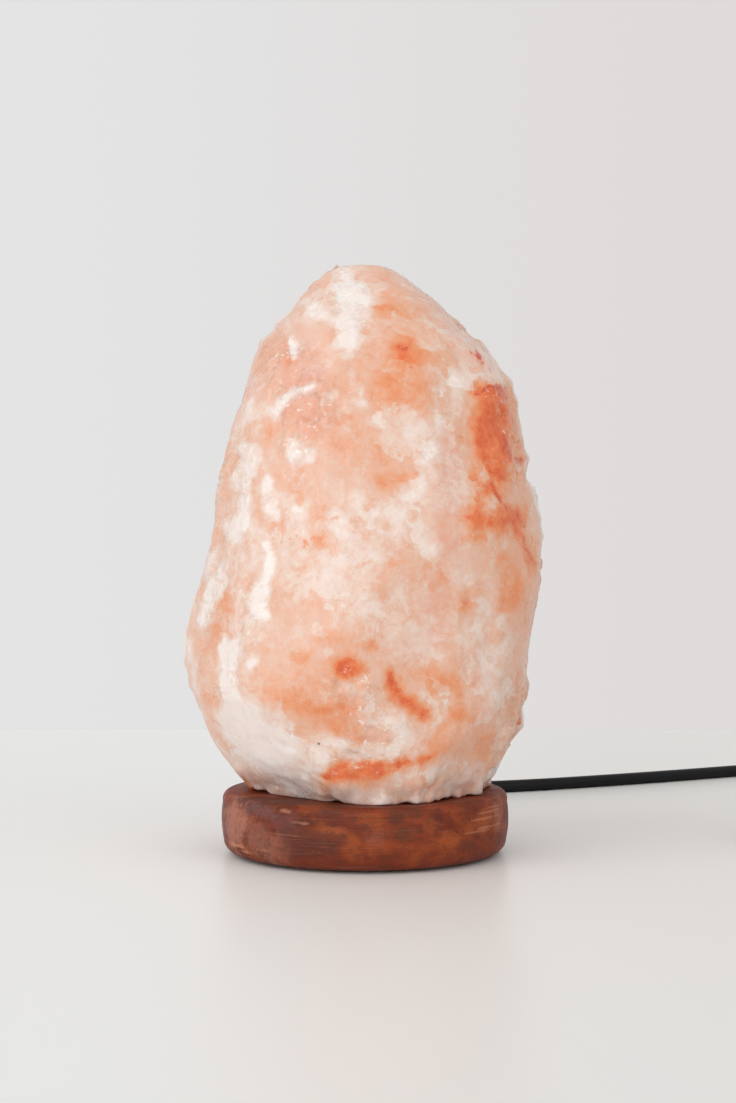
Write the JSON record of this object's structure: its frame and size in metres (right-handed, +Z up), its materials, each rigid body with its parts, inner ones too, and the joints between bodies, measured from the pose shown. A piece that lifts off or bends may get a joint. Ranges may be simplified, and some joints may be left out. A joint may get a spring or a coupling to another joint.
{
  "type": "salt crystal lamp",
  "caption": "Carved salt crystal lamp on a round wooden base, with a small screw bulb inside, a round cord, an inline dimmer and a plug.",
  "frame": {"origin": "on the surface the lamp stands on, under the middle of the lamp, measured without the cord and the pieces on it", "axes": "+Z up along the lamp's height, +Y to the back where the cord leaves, +X to the viewer's right"},
  "size_m": [0.3445, 0.3579, 0.236],
  "materials": {
    "salt": "translucent rough crystal",
    "wood_base": "stained, satin oil finish, worn",
    "felt": "pressed felt",
    "steel": "zinc plated",
    "white_plastic": "moulded, matte",
    "black_plastic": "moulded, satin",
    "soft_black": "moulded soft vinyl, satin",
    "wheel_plastic": "moulded, knurled rim",
    "brass": "bright",
    "brass_plated": "nickel plated brass",
    "wire_sleeve": "insulated copper wire",
    "bulb_glass": "clear",
    "insulator_glass": "black vitrite",
    "cord_sheath": "smooth round sheath, satin",
    "tie_fabric": "woven hook and loop strap",
    "circuit_board": "paper laminate",
    "component_plastic": "moulded"
  },
  "bodies": {
    "root": {"wooden_base": "wood_base", "felt_pads": "felt", "rock_screws": "steel", "rock_plugs": "white_plastic", "salt_crystal": "salt", "holder_body": "black_plastic", "holder_clip": "steel", "holder_bottom_cap": "black_plastic", "cap_screws": "steel", "screw_shell": "brass", "centre_contact": "brass", "terminals": "brass", "terminal_screws": "steel", "cord_clamp_bar": "black_plastic", "clamp_screws": "steel", "live_wire": "wire_sleeve", "neutral_wire": "wire_sleeve", "cord_inner": "cord_sheath", "cord_bushing": "soft_black", "cord_lead": "cord_sheath", "cord_middle": "cord_sheath", "cord_coil": "cord_sheath", "cord_tail": "cord_sheath", "coil_tie": "tie_fabric", "dimmer_top_shell": "black_plastic", "dimmer_bottom_shell": "black_plastic", "dimmer_screws": "steel", "dimmer_circuit_board": "circuit_board", "dimmer_components": "component_plastic", "dimmer_board_leads": "wire_sleeve", "dimmer_relief_lamp_side": "soft_black", "dimmer_relief_plug_side": "soft_black", "plug_body": "soft_black", "plug_strain_relief": "soft_black", "plug_blades": "brass_plated"},
    "bulb_travel": {"bulb_contact": "brass"},
    "bulb": {"bulb_glass": "bulb_glass", "bulb_cap": "brass", "bulb_insulator": "insulator_glass", "bulb_stem": "bulb_glass", "filament_supports": "steel", "filament": "steel"},
    "dimmer_wheel": {"dimmer_wheel": "wheel_plastic", "dimmer_wheel_shaft": "white_plastic"}
  },
  "joints": [
    {"name": "bulb_lift", "type": "slide", "parent": "root", "child": "bulb_travel", "axis": [0, 0, 1], "range_m": [0, 0.0077]},
    {"name": "bulb_turn", "type": "hinge", "parent": "bulb_travel", "child": "bulb", "pos_m": [0, 0, 0.03], "axis": [0, 0, 1], "range_deg": [0, 1080]},
    {"name": "dimmer_turn", "type": "hinge", "parent": "root", "child": "dimmer_wheel", "pos_m": [0.259, 0.126, 0.0137], "axis": [0, 0, 1], "range_deg": [0, 300]}
  ],
  "couplings": [
    {"joint": "bulb_lift", "follows": "bulb_turn", "m_per_rad": 0.00040425}
  ]
}
